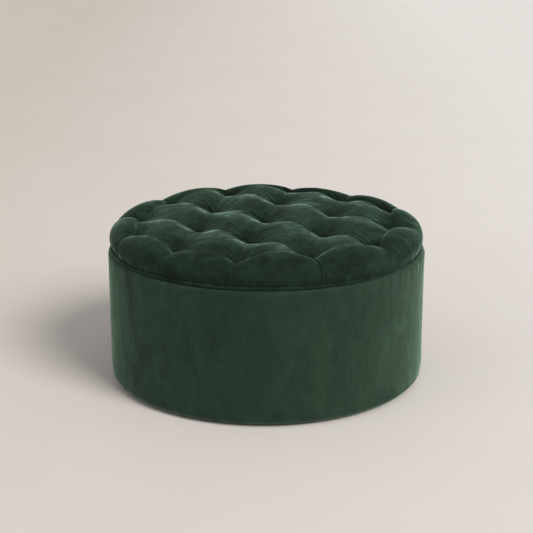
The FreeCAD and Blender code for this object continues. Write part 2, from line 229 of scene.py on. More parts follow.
def velvetMaterial(name, tones, brush, patchiness):
    # Pile seen end on is dark and pile seen from the side is pale, so the tone follows how far the cloth
    # turns away from the eye: painted sheen in the base colour. Patches and brush marks, where the pile lies
    # another way, shift and scale it
    material, nodes, links, shader, coords = newMaterial(name)
    patches = noiseNode(nodes, links, coords, 15.0, 5.0, 0.62, brush, 0.8)
    marks = noiseNode(nodes, links, coords, 52.0, 6.0, 0.66, brush, 0.4)
    pile = noiseNode(nodes, links, coords, 900.0, 2.0, 0.6)
    lie = mathNode(nodes, links, "ADD", mathNode(nodes, links, "MULTIPLY", patches, 0.6),
                   mathNode(nodes, links, "MULTIPLY", marks, 0.4))
    away = nodes.new("ShaderNodeLayerWeight")
    away.inputs["Blend"].default_value = 0.5
    shift = mathNode(nodes, links, "SUBTRACT", lie, 0.5)
    shift = mathNode(nodes, links, "MULTIPLY", shift, patchiness * 0.5)
    tone = rampNode(nodes, links, mathNode(nodes, links, "ADD", away.outputs["Facing"], shift), tones)
    gain = mathNode(nodes, links, "MULTIPLY", lie, 2 * patchiness)
    gain = mathNode(nodes, links, "ADD", gain, 1 - patchiness)
    # Darker towards the bottoms of the dimples: painted shade, with some real change where the pile lies
    # another way
    dimpleShade = nodes.new("ShaderNodeAttribute")
    dimpleShade.attribute_name = "dimpleShade"
    shade = mathNode(nodes, links, "MULTIPLY", dimpleShade.outputs["Fac"], velvetLook["dimpleShadeStrength"])
    shade = mathNode(nodes, links, "SUBTRACT", 1.0, shade)
    gain = mathNode(nodes, links, "MULTIPLY", gain, shade)
    mix = nodes.new("ShaderNodeVectorMath")
    mix.operation = "SCALE"
    links.new(tone, mix.inputs[0])
    links.new(gain, mix.inputs["Scale"])
    links.new(mix.outputs["Vector"], shader.inputs["Base Color"])
    shader.inputs["Roughness"].default_value = velvetLook["roughness"]
    shader.inputs["Specular IOR Level"].default_value = 0.12
    shader.inputs["Sheen Weight"].default_value = velvetLook["sheen"]
    shader.inputs["Sheen Roughness"].default_value = velvetLook["sheenRoughness"]
    shader.inputs["Sheen Tint"].default_value = (*velvetLook["sheenColour"], 1)
    under = bumpNode(nodes, links, lie, 0.3, 3 * mm)
    links.new(bumpNode(nodes, links, pile, 0.25, 0.25 * mm, under), shader.inputs["Normal"])
    return material


def wovenMaterial(name, dark, light, thread, roughness=0.85):
    # Plain weave: two crossed sine bands of thread, over a slow change of tone
    material, nodes, links, shader, coords = newMaterial(name)
    bands = []
    for axis in ("X", "Y"):
        wave = nodes.new("ShaderNodeTexWave")
        wave.wave_type = "BANDS"
        wave.bands_direction = axis
        wave.inputs["Scale"].default_value = 0.314 / thread
        wave.inputs["Distortion"].default_value = 0.4
        wave.inputs["Detail"].default_value = 1.0
        links.new(coords, wave.inputs["Vector"])
        bands.append(wave.outputs["Fac"])
    weave = mathNode(nodes, links, "MULTIPLY", bands[0], bands[1])
    slow = noiseNode(nodes, links, coords, 14.0, 4.0)
    tone = mathNode(nodes, links, "ADD", mathNode(nodes, links, "MULTIPLY", weave, 0.4),
                    mathNode(nodes, links, "MULTIPLY", slow, 0.6))
    links.new(rampNode(nodes, links, tone, [(0.3, dark), (0.75, light)]), shader.inputs["Base Color"])
    shader.inputs["Roughness"].default_value = roughness
    shader.inputs["Sheen Weight"].default_value = 0.15
    links.new(bumpNode(nodes, links, weave, 0.5, thread * 0.4), shader.inputs["Normal"])
    return material


def feltMaterial(name, dark, light):
    # Pressed fibres: fine tangled noise over faint blotches
    material, nodes, links, shader, coords = newMaterial(name)
    fibres = noiseNode(nodes, links, coords, 420.0, 8.0, 0.75, (1, 1, 1), 2.0)
    links.new(rampNode(nodes, links, fibres, [(0.35, dark), (0.7, light)]), shader.inputs["Base Color"])
    shader.inputs["Roughness"].default_value = 0.95
    links.new(bumpNode(nodes, links, fibres, 0.5, 0.4 * mm), shader.inputs["Normal"])
    return material


def woodMaterial(name, dark, light, stretch, scale=24.0):
    # Long grain: noise stretched along the boards, with finer pores over it
    material, nodes, links, shader, coords = newMaterial(name)
    grain = noiseNode(nodes, links, coords, scale, 8.0, 0.6, stretch, 0.8)
    pores = noiseNode(nodes, links, coords, scale * 14, 3.0, 0.6, stretch)
    tone = mathNode(nodes, links, "ADD", mathNode(nodes, links, "MULTIPLY", grain, 0.75),
                    mathNode(nodes, links, "MULTIPLY", pores, 0.25))
    links.new(rampNode(nodes, links, tone, [(0.36, dark), (0.62, light)]), shader.inputs["Base Color"])
    shader.inputs["Roughness"].default_value = 0.7
    links.new(bumpNode(nodes, links, tone, 0.4, 0.4 * mm), shader.inputs["Normal"])
    return material


def foamMaterial(name, dark, light):
    # Open cells: small round pits
    material, nodes, links, shader, coords = newMaterial(name)
    cells = nodes.new("ShaderNodeTexVoronoi")
    cells.inputs["Scale"].default_value = 700.0
    links.new(coords, cells.inputs["Vector"])
    links.new(rampNode(nodes, links, cells.outputs["Distance"], [(0.1, dark), (0.5, light)]),
              shader.inputs["Base Color"])
    shader.inputs["Roughness"].default_value = 0.95
    links.new(bumpNode(nodes, links, cells.outputs["Distance"], 0.6, 0.5 * mm), shader.inputs["Normal"])
    return material


def mouldedMaterial(name, dark, light, roughness):
    # Moulded plastic: a fine even grain, a little worn
    material, nodes, links, shader, coords = newMaterial(name)
    grain = noiseNode(nodes, links, coords, 1200.0, 3.0)
    wear = noiseNode(nodes, links, coords, 90.0, 5.0, 0.7)
    links.new(rampNode(nodes, links, wear, [(0.4, dark), (0.7, light)]), shader.inputs["Base Color"])
    shader.inputs["Roughness"].default_value = roughness
    links.new(bumpNode(nodes, links, grain, 0.3, 0.1 * mm), shader.inputs["Normal"])
    return material


def steelMaterial(name):
    # Bright zinc: fine scratches change its gloss
    material, nodes, links, shader, coords = newMaterial(name)
    scratches = noiseNode(nodes, links, coords, 600.0, 6.0, 0.7, (1, 8, 1))
    shader.inputs["Metallic"].default_value = 1.0
    links.new(rampNode(nodes, links, scratches, [(0.3, (0.36, 0.37, 0.38)), (0.7, (0.60, 0.61, 0.62))]),
              shader.inputs["Base Color"])
    links.new(rampNode(nodes, links, scratches, [(0.3, (0.22, 0.22, 0.22)), (0.8, (0.42, 0.42, 0.42))]),
              shader.inputs["Roughness"])
    return material


lidVelvet = velvetMaterial("velvetLid", velvetLook["lid"], (1, 1, 1), 1.8)
drumVelvet = velvetMaterial("velvetDrum", velvetLook["drum"], (1, 1, 0.5), 0.65)
liningCloth = wovenMaterial("liningCloth", (0.020, 0.021, 0.022), (0.045, 0.047, 0.050), 0.9 * mm)
dustCloth = feltMaterial("dustCloth", (0.008, 0.008, 0.009), (0.030, 0.030, 0.032))
plywood = woodMaterial("plywood", (0.33, 0.21, 0.12), (0.60, 0.44, 0.28), (1, 7, 1))
plyEdge = woodMaterial("plywoodRing", (0.30, 0.19, 0.11), (0.58, 0.42, 0.27), (1, 1, 16), 30.0)
battenWood = woodMaterial("battenWood", (0.42, 0.28, 0.15), (0.70, 0.54, 0.34), (6, 6, 0.6))
hardboard = feltMaterial("hardboard", (0.13, 0.07, 0.035), (0.24, 0.14, 0.07))
paleFoam = foamMaterial("foam", (0.45, 0.38, 0.22), (0.78, 0.72, 0.55))
glidePlastic = mouldedMaterial("glidePlastic", (0.010, 0.010, 0.010), (0.030, 0.030, 0.031), 0.5)
togglePlastic = mouldedMaterial("togglePlastic", (0.55, 0.54, 0.50), (0.75, 0.74, 0.70), 0.45)
steel = steelMaterial("zincSteel")
twine = wovenMaterial("twine", (0.30, 0.27, 0.20), (0.62, 0.57, 0.45), 0.5 * mm)
print("materials made")


# The tufted cover of the lid

tufting = {
    "rowStep": 187 * mm,        # tuft to tuft along the first slanted row
    "rowAngle": -101,
    "crossStep": 175 * mm,      # and along the second
    "crossAngle": -40,
    "outerCircle": 335 * mm,    # the outer tufts are drawn halfway to this circle
    "crown": 5110 * mm,         # radius of the slab's crown
    "wadding": 1 * mm,
    "puff": 37 * mm,            # tuft to the crest of a pillow
    "halfPuff": 41 * mm,        # the same for the half diamonds and the pillows outside them
    "saddle": 28.5 * mm,        # tuft to the top of a pleat between two tufts
    "fullness": 0.92,           # lower is a flatter, fuller pillow
    "pitShape": 0.45,           # lower is a narrower dimple
    "lidRadius": 394 * mm,
    "bulge": 3 * mm,            # how far a rim pillow stands out between its pleats
    "rimCrest": 55 * mm,
    "rimPleat": 37 * mm,
    "rimSide": 11 * mm,         # board top to the widest line of the side
    "crestInset": 56 * mm,      # edge to the crest in the middle of a rim pillow
    "pleatInset": 34 * mm,      # and at its pleats
    "footInset": 4.5 * mm,      # edge to the line where the cover meets the welt
    "footTuck": 1.5 * mm,
    "roundness": 1.657,         # end slopes of a cubic that draws a quarter circle
    "fullSlope": 1.15,          # and of the one that climbs to the crest
    "foldDepth": 1.2 * mm,      # the groove of a pleat
    "foldLip": 0.9 * mm,        # and the lip that lies over it
    "gridCount": 88,            # steps along each side of a patch
}

# The fine folds round a tuft
pulls = {
    "length": (42, 60),         # mm
    "spread": 0.62,             # radians to each side of the fan's middle
    "fold": 23,                 # 23 / 2 pi folds to a radian
    "bend": 3.5,                # radians to a metre
    "height": 4.2,              # mm
    "others": 1.5,              # the broader folds all round
    "clear": 9 * mm,            # none this close to the tuft
}


def spacing(count):
    # 0 to 1, closer together near both ends, where the pleats are
    k = np.linspace(0, 1, count + 1)
    return 0.16 * k + 0.84 * (1 - np.cos(math.pi * k)) / 2


def direction(length, degrees):
    # Length and angle as x and y
    turn = math.radians(degrees)
    return np.array([length * math.cos(turn), length * math.sin(turn)])


def tuftPlaces():
    # Tuft i, j lies at i x row + j x cross. The outer ones are drawn halfway to a circle
    row = direction(tufting["rowStep"], tufting["rowAngle"])
    cross = direction(tufting["crossStep"], tufting["crossAngle"])
    places = {}
    for i in range(-2, 3):
        for j in range(-2, 3):
            if abs(i + j) <= 2:
                p = row * i + cross * j
                if max(abs(i), abs(j), abs(i + j)) == 2:
                    reach = np.linalg.norm(p)
                    p = p * (reach + tufting["outerCircle"]) / 2 / reach
                places[i, j] = p
    return places


tufts = tuftPlaces()
outerKeys = sorted((k for k in tufts if max(abs(k[0]), abs(k[1]), abs(sum(k))) == 2),
                   key=lambda k: math.atan2(tufts[k][1], tufts[k][0]))


def tuftLevel(x, y):
    # The slab's crown, a sphere's cap, plus the wadding that is left at a tuft
    crown = tufting["crown"]
    return slabTop - crown + np.sqrt(crown ** 2 - x ** 2 - y ** 2) + tufting["wadding"]


def pillowHeight(u, v, puff):
    # Over tuft level: saddle x pit + (puff - saddle) x (|sin u| |sin v|)^fullness. The pit is 0 at a tuft
    a = np.abs(np.sin(math.pi * u))
    b = np.abs(np.sin(math.pi * v))
    pit = np.clip(1 - (1 - a * a) * (1 - b * b), 0, 1) ** tufting["pitShape"]
    dome = np.clip(a * b, 0, 1) ** tufting["fullness"]
    return tufting["saddle"] * pit + (puff - tufting["saddle"]) * dome


def foldShape(distance, strength, over):
    # Beside a pleat's line: a narrow groove, and on the side that lies over it a rounded lip and a shallow
    # line. Each is a bell curve of the distance
    groove = -tufting["foldDepth"] * np.exp(-(distance / (1.0 * mm if over else 2.0 * mm)) ** 2)
    lip = 0.0
    if over:
        lip = tufting["foldLip"] * np.exp(-((distance - 2.8 * mm) / (1.8 * mm)) ** 2)
        lip = lip - 0.5 * tufting["foldLip"] * np.exp(-((distance - 7.0 * mm) / (1.5 * mm)) ** 2)
        lip = lip * (1 - np.exp(-(distance / (1.0 * mm)) ** 2))
    return (groove + lip) * strength


def foldStrength(share):
    # A pleat starts at a tuft, is full along its middle and ends at the next tuft
    return np.clip(np.sin(math.pi * share), 0, 1) ** 0.5


def pullFolds(x, y):
    # Fine folds that fan out from each tuft: sines of the angle round it, strongest on one side, which fade
    # outwards by a bell curve
    rng = np.random.default_rng(11)
    away = math.radians(tufting["crossAngle"] + 180)
    total = np.zeros_like(x)
    for key in sorted(tufts):
        place = tufts[key]
        dx, dy = x - place[0], y - place[1]
        reach = np.hypot(dx, dy)
        angle = np.arctan2(dy, dx) - away + rng.uniform(-0.12, 0.12)
        angle = (angle + math.pi) % (2 * math.pi) - math.pi
        bend = angle - pulls["bend"] * reach
        length = rng.uniform(*pulls["length"]) * mm
        fade = ease(reach / pulls["clear"]) * np.exp(-(reach / length) ** 2)
        fan = np.exp(-(angle / pulls["spread"]) ** 2) * np.sin(bend * pulls["fold"] + rng.uniform(0, 6))
        rest = np.sin(angle * rng.integers(8, 12) + rng.uniform(0, 6)) * 0.35
        total += (fan * pulls["height"] + pulls["others"] * rest) * fade * rng.uniform(0.7, 1.15)
    return total * mm


def diamondPatch(back, front, left, right, puff, half):
    # A pillow between four tufts. Plan: the four tufts blended by u and v. Height: tuft level plus
    # pillowHeight, with its folds
    n = tufting["gridCount"]
    s = spacing(n)
    if half:
        t, w = np.meshgrid(s, s, indexing="ij")
        u, v = t * (1 - w), t * w
    else:
        u, v = np.meshgrid(s, s, indexing="ij")
    plan = [(1 - u) * (1 - v) * back[k] + u * (1 - v) * left[k] + (1 - u) * v * right[k]
            + u * v * front[k] for k in (0, 1)]
    toLeft, toRight = left - back, right - back
    area = abs(toLeft[0] * toRight[1] - toLeft[1] * toRight[0])
    uSpan = area / np.linalg.norm(toRight)
    vSpan = area / np.linalg.norm(toLeft)
    height = pillowHeight(u, v, puff)
    height = height + foldShape(u * uSpan, foldStrength(v), True)
    height = height + foldShape(v * vSpan, foldStrength(u), False)
    if not half:
        height = height + foldShape((1 - u) * uSpan, foldStrength(v), False)
        height = height + foldShape((1 - v) * vSpan, foldStrength(u), True)
    z = tuftLevel(*plan) + height + pullFolds(*plan)
    return np.stack([plan[0], plan[1], z], -1), quads(n + 1, n + 1)


def hermite(t, start, startSlope, end, endSlope):
    # A cubic between two points with the given slopes
    return ((2 * t ** 3 - 3 * t ** 2 + 1) * start + (t ** 3 - 2 * t ** 2 + t) * startSlope
            + (-2 * t ** 3 + 3 * t ** 2) * end + (t ** 3 - t ** 2) * endSlope)


def rimPatch(first, last, opened, puff):
    # A pillow over the lid's edge, from the line between two tufts to the welt. Three cubics make its
    # profile: up to the crest, over to the side, and down to the welt. The crest swells between the pleats
    w = spacing(tufting["gridCount"])[None, :]
    x0 = first[0] + (last[0] - first[0]) * w
    y0 = first[1] + (last[1] - first[1]) * w
    swell = np.sin(math.pi * w).clip(0, 1) ** 0.8
    innerR = np.hypot(x0, y0)
    turn = np.arctan2(y0, x0)
    edge = pillowHeight(w, 1 - w, puff) if opened else pillowHeight(w, 0 * w, puff)
    if not opened:
        edge = edge - tufting["foldDepth"] * foldStrength(w)
    innerZ = tuftLevel(x0, y0) + edge
    crestR = tufting["lidRadius"] - tufting["pleatInset"]
    crestR = crestR - (tufting["crestInset"] - tufting["pleatInset"]) * swell
    crestR = np.maximum(crestR, innerR + 12 * mm * (1 - swell) + 7 * mm)
    crest = innerZ.max() - boardTop if opened else tufting["rimCrest"]
    crestZ = boardTop + tufting["rimPleat"] + (crest - tufting["rimPleat"]) * swell
    sideR = tufting["lidRadius"] + tufting["bulge"] * (0.2 + 0.8 * swell)
    sideZ = boardTop + tufting["rimSide"] + 0 * w
    footR = tufting["lidRadius"] - tufting["footInset"] + 0 * w
    footZ = weltHigh[2] - tufting["footTuck"] + 0 * w
    rise = np.arctan2(crestZ - innerZ, crestR - innerR)
    chord = np.hypot(crestZ - innerZ, crestR - innerR)
    startAngle = rise * 1.3 + 0.25 * swell
    if opened:
        startAngle = rise * 1.3 * (1 - swell) - 0.05 * swell
    k, climb = tufting["roundness"], tufting["fullSlope"] * chord
    lean = (4 * mm if opened else 2 * mm) * swell
    crestSlope = -lean * chord / (k * (sideR - crestR)) * tufting["fullSlope"]
    radii, heights = [], []
    for t, pr, pz in (
            (spacing(34)[:, None],
             (innerR, climb * np.cos(startAngle), crestR, climb),
             (innerZ, climb * np.sin(startAngle), crestZ, crestSlope)),
            (np.linspace(0, 1, 31)[1:, None],
             (crestR, k * (sideR - crestR), sideR, 0),
             (crestZ, -lean, sideZ, -k * (crestZ - sideZ))),
            (np.linspace(0, 1, 17)[1:, None],
             (sideR, 0, footR, -9 * mm),
             (sideZ, sideZ * 0 - 24 * mm, footZ, -14 * mm))):
        radii.append(hermite(t, *pr))
        heights.append(hermite(t, *pz))
    r = np.concatenate(radii)
    z = np.concatenate(heights)
    down = np.linspace(0, 1, len(r))[:, None]
    # The folds and pull marks push the cover out square to its profile
    dr, dz = np.gradient(r, axis=0), np.gradient(z, axis=0)
    size = np.hypot(dr, dz) + 1e-9
    outR = -dz / size * ease(down / 0.12)
    outZ = np.where(down < 0.12, 1 + (dr / size - 1) * ease(down / 0.12), dr / size)
    span = np.linalg.norm(last - first)
    along = ease(down / 0.10) * (1 - 0.35 * ease((down - 0.8) / 0.2))
    push = foldShape(w * span, along, True) + foldShape((1 - w) * span, along, False)
    if not opened:
        steps = np.hypot(np.diff(r, axis=0, prepend=r[:1]), np.diff(z, axis=0, prepend=z[:1]))
        inward = np.cumsum(steps, axis=0)
        fold = foldShape(inward, foldStrength(w), False) + tufting["foldDepth"] * foldStrength(w)
        push = push + fold * ease(1 - down / 0.2)
    x, y = r * np.cos(turn), r * np.sin(turn)
    push = push + pullFolds(x, y) * (1 - ease((down - 0.25) / 0.3))
    gathers = waves(turn * 0.4, 0 * turn, 0 * z, 5, 17 * mm) * 0.8 * mm * ease((down - 0.72) / 0.28)
    slant = np.sin((turn * 0.4 + (z - boardTop) * 1.1) / (2.2 * mm)) * 0.5 * mm
    slant = slant * np.exp(-((turn + 0.25) / 0.22) ** 2) * np.exp(-((down - 0.6) / 0.16) ** 2)
    push = push + gathers + slant
    r = r + push * outR
    z = z + push * outZ
    return np.stack([r * np.cos(turn), r * np.sin(turn), z], -1), quads(len(r), r.shape[1])


def isOpened(first, last):
    # No pleat joins two outer tufts that lie across the slanted rows: the sine of the angle is under 0.35
    gap = last - first
    across = direction(tufting["crossStep"], tufting["crossAngle"])
    across = across - direction(tufting["rowStep"], tufting["rowAngle"])
    lengths = np.linalg.norm(gap) * np.linalg.norm(across)
    return abs(gap[0] * across[1] - gap[1] * across[0]) < 0.35 * lengths


# The cover's hidden side as (radius, height) in mm, from the welt to the middle
hiddenSide = {
    "hem": [(388.2, 339.0), (387.9, 336.2), (372.0, 336.1), (359.7, 336.15), (359.7, 337.3)],
    "roundBoard": [(384.6, 337.4), (384.8, 345.0), (384.8, 352.7), (380.0, 353.0)],
    "onBoard": [(250.0, 353.0), (120.0, 353.0), (30.0, 353.0)],
    "middle": 353 * mm,
}


def underside(rimPoints):
    # The turned-in hem, the wall round the board and the face on the board, carried round the foot's own
    # angles: x = r cos a, y = r sin a
    turn = np.arctan2(rimPoints[:, 1], rimPoints[:, 0])[None, :]
    rows = np.array(hiddenSide["hem"] + hiddenSide["roundBoard"] + hiddenSide["onBoard"]) * mm
    points = np.stack([rows[:, :1] * np.cos(turn), rows[:, :1] * np.sin(turn), rows[:, 1:] + 0 * turn], -1)
    return np.concatenate([rimPoints[None], points])


def makeTuftedCover():
    # All patches joined, and the whole then wandering a little, as a cushion does that is stuffed by hand
    rng = np.random.default_rng(3)
    parts = []
    for (i, j), back in tufts.items():
        keys = [(i + 1, j), (i, j + 1), (i + 1, j + 1)]
        if all(k in tufts for k in keys):
            left, right, front = (tufts[k] for k in keys)
            puff = tufting["puff"] * rng.uniform(0.95, 1.05)
            parts.append(diamondPatch(back, front, left, right, puff, False))
    for end in (-1, 1):
        for step in (0, 1):
            apex = tufts[end * step, end * (1 - step)]
            left = tufts[end * (step + 1), end * (1 - step)]
            right = tufts[end * step, end * (2 - step)]
            parts.append(diamondPatch(apex, left + right - apex, left, right, tufting["halfPuff"], True))
    feet = []
    for k, key in enumerate(outerKeys):
        first, last = tufts[key], tufts[outerKeys[(k + 1) % len(outerKeys)]]
        opened = isOpened(first, last)
        points, faces = rimPatch(first, last, opened, tufting["halfPuff" if opened else "puff"])
        parts.append((points, faces))
        feet.append(points[-1, :-1])
    ring = underside(np.concatenate(feet))
    parts.append((ring, quads(*ring.shape[:2], True)))
    points, faces = joined(parts)
    # Triangles from the last ring close the middle of the hidden face
    columns = ring.shape[1]
    here = np.arange(columns)
    cap = np.stack([here, (here + 1) % columns, np.full(columns, columns)], -1) + len(points)
    points = np.concatenate([points, ring[-1], [[0, 0, hiddenSide["middle"]]]])
    mesh = meshOf("tuftedCover", points, faces, cap)
    weld(mesh)
    co = np.empty(len(mesh.vertices) * 3, dtype=np.float32)
    mesh.vertices.foreach_get("co", co)
    co = co.reshape(-1, 3).astype(float)
    x, y, z = co.T
    free = ease((z - weltHigh[2]) / (12 * mm))
    co[:, 2] += free * 1.5 * mm * waves(x, y, 0 * z, 21, 160 * mm)
    for axis, seed in ((0, 23), (1, 24)):
        # x and y are views of co, so the second sweep starts from where the first one moved the points
        middle = 1 - ease((np.hypot(x, y) - 0.33) / 0.05)
        co[:, axis] += free * 2.2 * mm * waves(x, y, 0 * z, seed, 190 * mm) * middle
    mesh.vertices.foreach_set("co", co.astype(np.float32).ravel())
    mesh.update()
    # How far each point lies down in a dimple, 0 to 1: painted shade that darkens the velvet there, partly
    # the pile lying another way
    deep = (tuftLevel(x, y) + tufting["puff"] - co[:, 2]) / tufting["puff"]
    deep = ease((deep - 0.12) / 0.88) * (1 - ease((np.hypot(x, y) - 0.345) / 0.02))
    dimpleShade = mesh.attributes.new("dimpleShade", "FLOAT", "POINT")
    dimpleShade.data.foreach_set("value", deep.astype(np.float32))
    piece = place("tuftedCover", mesh, lidVelvet, "lid", "velvet", ["tufted_cover"])
    print("tufted cover", len(mesh.vertices), "points")


makeTuftedCover()


def makeTies():
    # One twine at each tuft: a six-sided rod from under the board up to just under the bottom of the tuft
    a = np.arange(6) * math.pi / 3
    parts = []
    for spot in tufts.values():
        top = tuftLevel(*spot) - 1.5 * mm
        rows = [(0.2, boardBottom), (1.2, boardBottom), (1.2, (boardBottom + top) / 2), (1.2, top),
                (0.2, top)]
        ring = [np.stack([spot[0] + r * mm * np.cos(a), spot[1] + r * mm * np.sin(a), z + 0 * a], -1)
                for r, z in rows]
        parts.append((np.stack(ring), quads(5, 6, True)))
    points, faces = joined(parts)
    place("tuftTies", meshOf("tuftTies", points, faces), twine, "lid", "twine", ["tuft_ties"])


makeTies()


# The welt: a cord in a tube of velvet, with a flat tail stapled under the board

welt = {
    "centreR": 392.3 * mm,
    "radius": 3.5 * mm,
    "lift": 1.0 * mm,           # over its place in CAD, for a darker reveal
    "tail": [(391.0, 335.1), (391.0, 335.95), (370.0, 335.95), (370.0, 335.1)],   # mm
    "count": 720,
    "round": 18,
}


def makeWelt():
    # A ring whose section is a circle that breathes: r + q cos b, z + q sin b, with q wandering round it
    a = np.linspace(0, 2 * math.pi, welt["count"], endpoint=False)[None, :]
    b = np.linspace(0, 2 * math.pi, welt["round"], endpoint=False)[:, None]
    x, y = np.cos(a) * welt["centreR"], np.sin(a) * welt["centreR"]
    q = 1 + 0.05 * waves(x, y, 0 * x, 31, 90 * mm) + 0.03 * waves(x, y, 0 * x, 32, 22 * mm)
    q = welt["radius"] * q
    q = q * (1 + 0.02 * waves(x, y, b * 3 * mm, 33, 6 * mm))
    centreR = welt["centreR"] + 0.5 * mm * waves(x, y, 0 * x, 34, 120 * mm)
    centreZ = weltCentreZ + welt["lift"] + 0.5 * mm * waves(x, y, 0 * x, 35, 140 * mm)
    r = centreR + q * np.cos(b)
    z = centreZ + q * np.sin(b)
    tube = np.stack([r * np.cos(a), r * np.sin(a), z], -1)
    tube = np.concatenate([tube, tube[:1]])
    tail, tailFaces = turned(np.array(welt["tail"]) * mm, 360)
    points, faces = joined([(tube, quads(len(tube), welt["count"], True)), (tail, tailFaces)])
    mesh = meshOf("weltCover", points, faces)
    weld(mesh)
    piece = place("weltCover", mesh, lidVelvet, "lid", "velvet", ["welt_cover"])
    print("welt made")


makeWelt()


# The drum's velvet

drum = {
    "shoulder": 12 * mm,
    "foot": 14 * mm,
    "mouthR": 356.9 * mm,
    "hemEnd": 294 * mm,
    "bottomHem": 340 * mm,
    "cloth": 1.5 * mm,
    "count": 900,
}


def arcRows(centreR, centreZ, radius, first, last, count):
    # Rows of a profile along an arc: centre + radius x (cos, sin), from the first angle to the last
    turn = np.radians(np.linspace(first, last, count))
    return np.stack([centreR + radius * np.cos(turn), centreZ + radius * np.sin(turn)], -1)


def straight(start, end, count):
    # Rows of a profile between two points, without them
    return np.linspace(start, end, count + 1)[1:-1]


def makeSideCover():
    # The sleeve's profile, mouth hem to bottom hem and back inside, carried round. The wall breathes by about
    # a millimetre, and gathers hang from the seam: waves round the drum that fade down from its top
    R, top, low = drumRadius, seatHeight, hemBottom
    mouth, cloth = drum["mouthR"], drum["cloth"]
    profile = np.concatenate([
        straight((mouth, drum["hemEnd"]), (mouth, top - 2 * mm), 12),
        arcRows(mouth + 2 * mm, top - 2 * mm, 2 * mm, 180, 90, 5),
        straight((mouth + 2 * mm, top), (R - drum["shoulder"], top), 10),
        arcRows(R - drum["shoulder"], top - drum["shoulder"], drum["shoulder"], 90, 0, 14),
        straight((R, top - drum["shoulder"]), (R, low + drum["foot"]), 110),
        arcRows(R - drum["foot"], low + drum["foot"], drum["foot"], 0, -90, 14),
        straight((R - drum["foot"], low), (drum["bottomHem"], low), 14),
        [(drum["bottomHem"], low + cloth)],
        [(R - drum["foot"], low + cloth)],
        [(R - 3 * mm, low + drum["foot"])],
        [(R - 3 * mm, top - drum["shoulder"])],
        [(R - drum["shoulder"], top - cloth)],
        [(mouth + cloth, top - cloth)],
        [(mouth + cloth, drum["hemEnd"])],
    ])
    points, faces = turned(profile, drum["count"])
    x, y, z = points[..., 0], points[..., 1], points[..., 2]
    r = np.hypot(x, y)
    turn = np.arctan2(y, x)
    outer = ease((r - (R - 6 * mm)) / (5 * mm)) * ease((z - 22 * mm) / (20 * mm))
    down = (top - z)
    wall = 0.6 * mm * waves(x, y, z * 0.5, 41, 180 * mm)
    wall = wall + 0.25 * mm * waves(x, y, z * 0.25, 42, 60 * mm)
    hang = np.exp(-(down / (34 * mm)) ** 2)
    where = np.exp(-((turn + 0.45) / 0.5) ** 2) + np.exp(-((turn + 2.75) / 0.35) ** 2)
    where = 0.35 + 0.65 * np.clip(where, 0, 1)
    gathers = waves(turn * 0.4, 0 * turn, 0.1 * down, 43, 30 * mm) * 0.7 * mm * hang * where
    crease = -0.8 * mm * np.exp(-((z - 40 * mm - 22 * mm * (turn + 1.25)) / (1.6 * mm)) ** 2)
    crease = crease * np.exp(-((turn + 1.05) / 0.16) ** 2)
    push = (wall + gathers + crease + 1.2 * mm) * outer
    scale = 1 + push / np.maximum(r, 1 * mm)
    points = np.stack([x * scale, y * scale, z], -1)
    mesh = meshOf("sideCover", points, faces)
    weld(mesh)
    piece = place("sideCover", mesh, drumVelvet, "drum", "velvet", ["side_cover"])
    print("side cover made")


makeSideCover()


# The linings and the wall's foam

linings = {
    "lid": {"node": "lid_lining", "cloth": liningCloth, "body": "lid", "slack": -0.5 * mm, "free": 0.72,
            "held": "stretched", "on": "lid_board", "seed": 51},
    "dust": {"node": "dust_cover", "cloth": dustCloth, "body": "drum", "slack": -0.8 * mm, "free": 0.80,
             "held": "stretched", "on": "floor_board", "seed": 52},
    "floor": {"node": "floor_lining", "cloth": liningCloth, "body": "drum", "slack": 1.2 * mm, "free": 0.93,
              "held": None, "on": "floor_board", "seed": 53},
    "wallSlack": 0.9 * mm,
    "flats": math.cos(math.pi / 40) * 0.9995,   # the boards have 40 flat sides, and cloth keeps inside
    "corner": 11 * mm,          # the rounded edges of the foam, inside the velvet's shoulder and foot
    "rows": 56,
    "count": 420,
}


def makeRound(name, slotName):
    # A round of cloth or pad. Its free face wanders off the board by slack x (1 + wave) / 2, and stays held
    # at the rim. A cloth's two faces move together; a pad moves only its free one
    one = linings[name]
    low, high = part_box(one["node"])
    radius, corner = high[0] * linings["flats"], (high[2] - low[2]) * 0.3
    steps = np.linspace(0, radius - corner, linings["rows"])
    bottom = np.stack([steps, low[2] + 0 * steps], -1)
    edge = np.array([[radius, low[2] + corner], [radius, high[2] - corner]])
    top = np.stack([steps[::-1], high[2] + 0 * steps], -1)
    points, faces = turned(np.concatenate([bottom, edge, top]), linings["count"], False)
    x, y, z = points[..., 0], points[..., 1], points[..., 2]
    free = 1 - ease((np.hypot(x, y) - one["free"] * radius) / (25 * mm))
    push = one["slack"] * (1 + waves(x, y, 0 * x, one["seed"], 150 * mm)).clip(0, 2) / 2 * free
    isPad = one["held"] is None
    points[..., 2] = z + np.where((z > (low[2] + high[2]) / 2) | (not isPad), push, 0)
    mesh = meshOf(name + "Lining", points, faces)
    weld(mesh)
    piece = place(name + "Lining", mesh, one["cloth"], one["body"], slotName, [one["node"]])


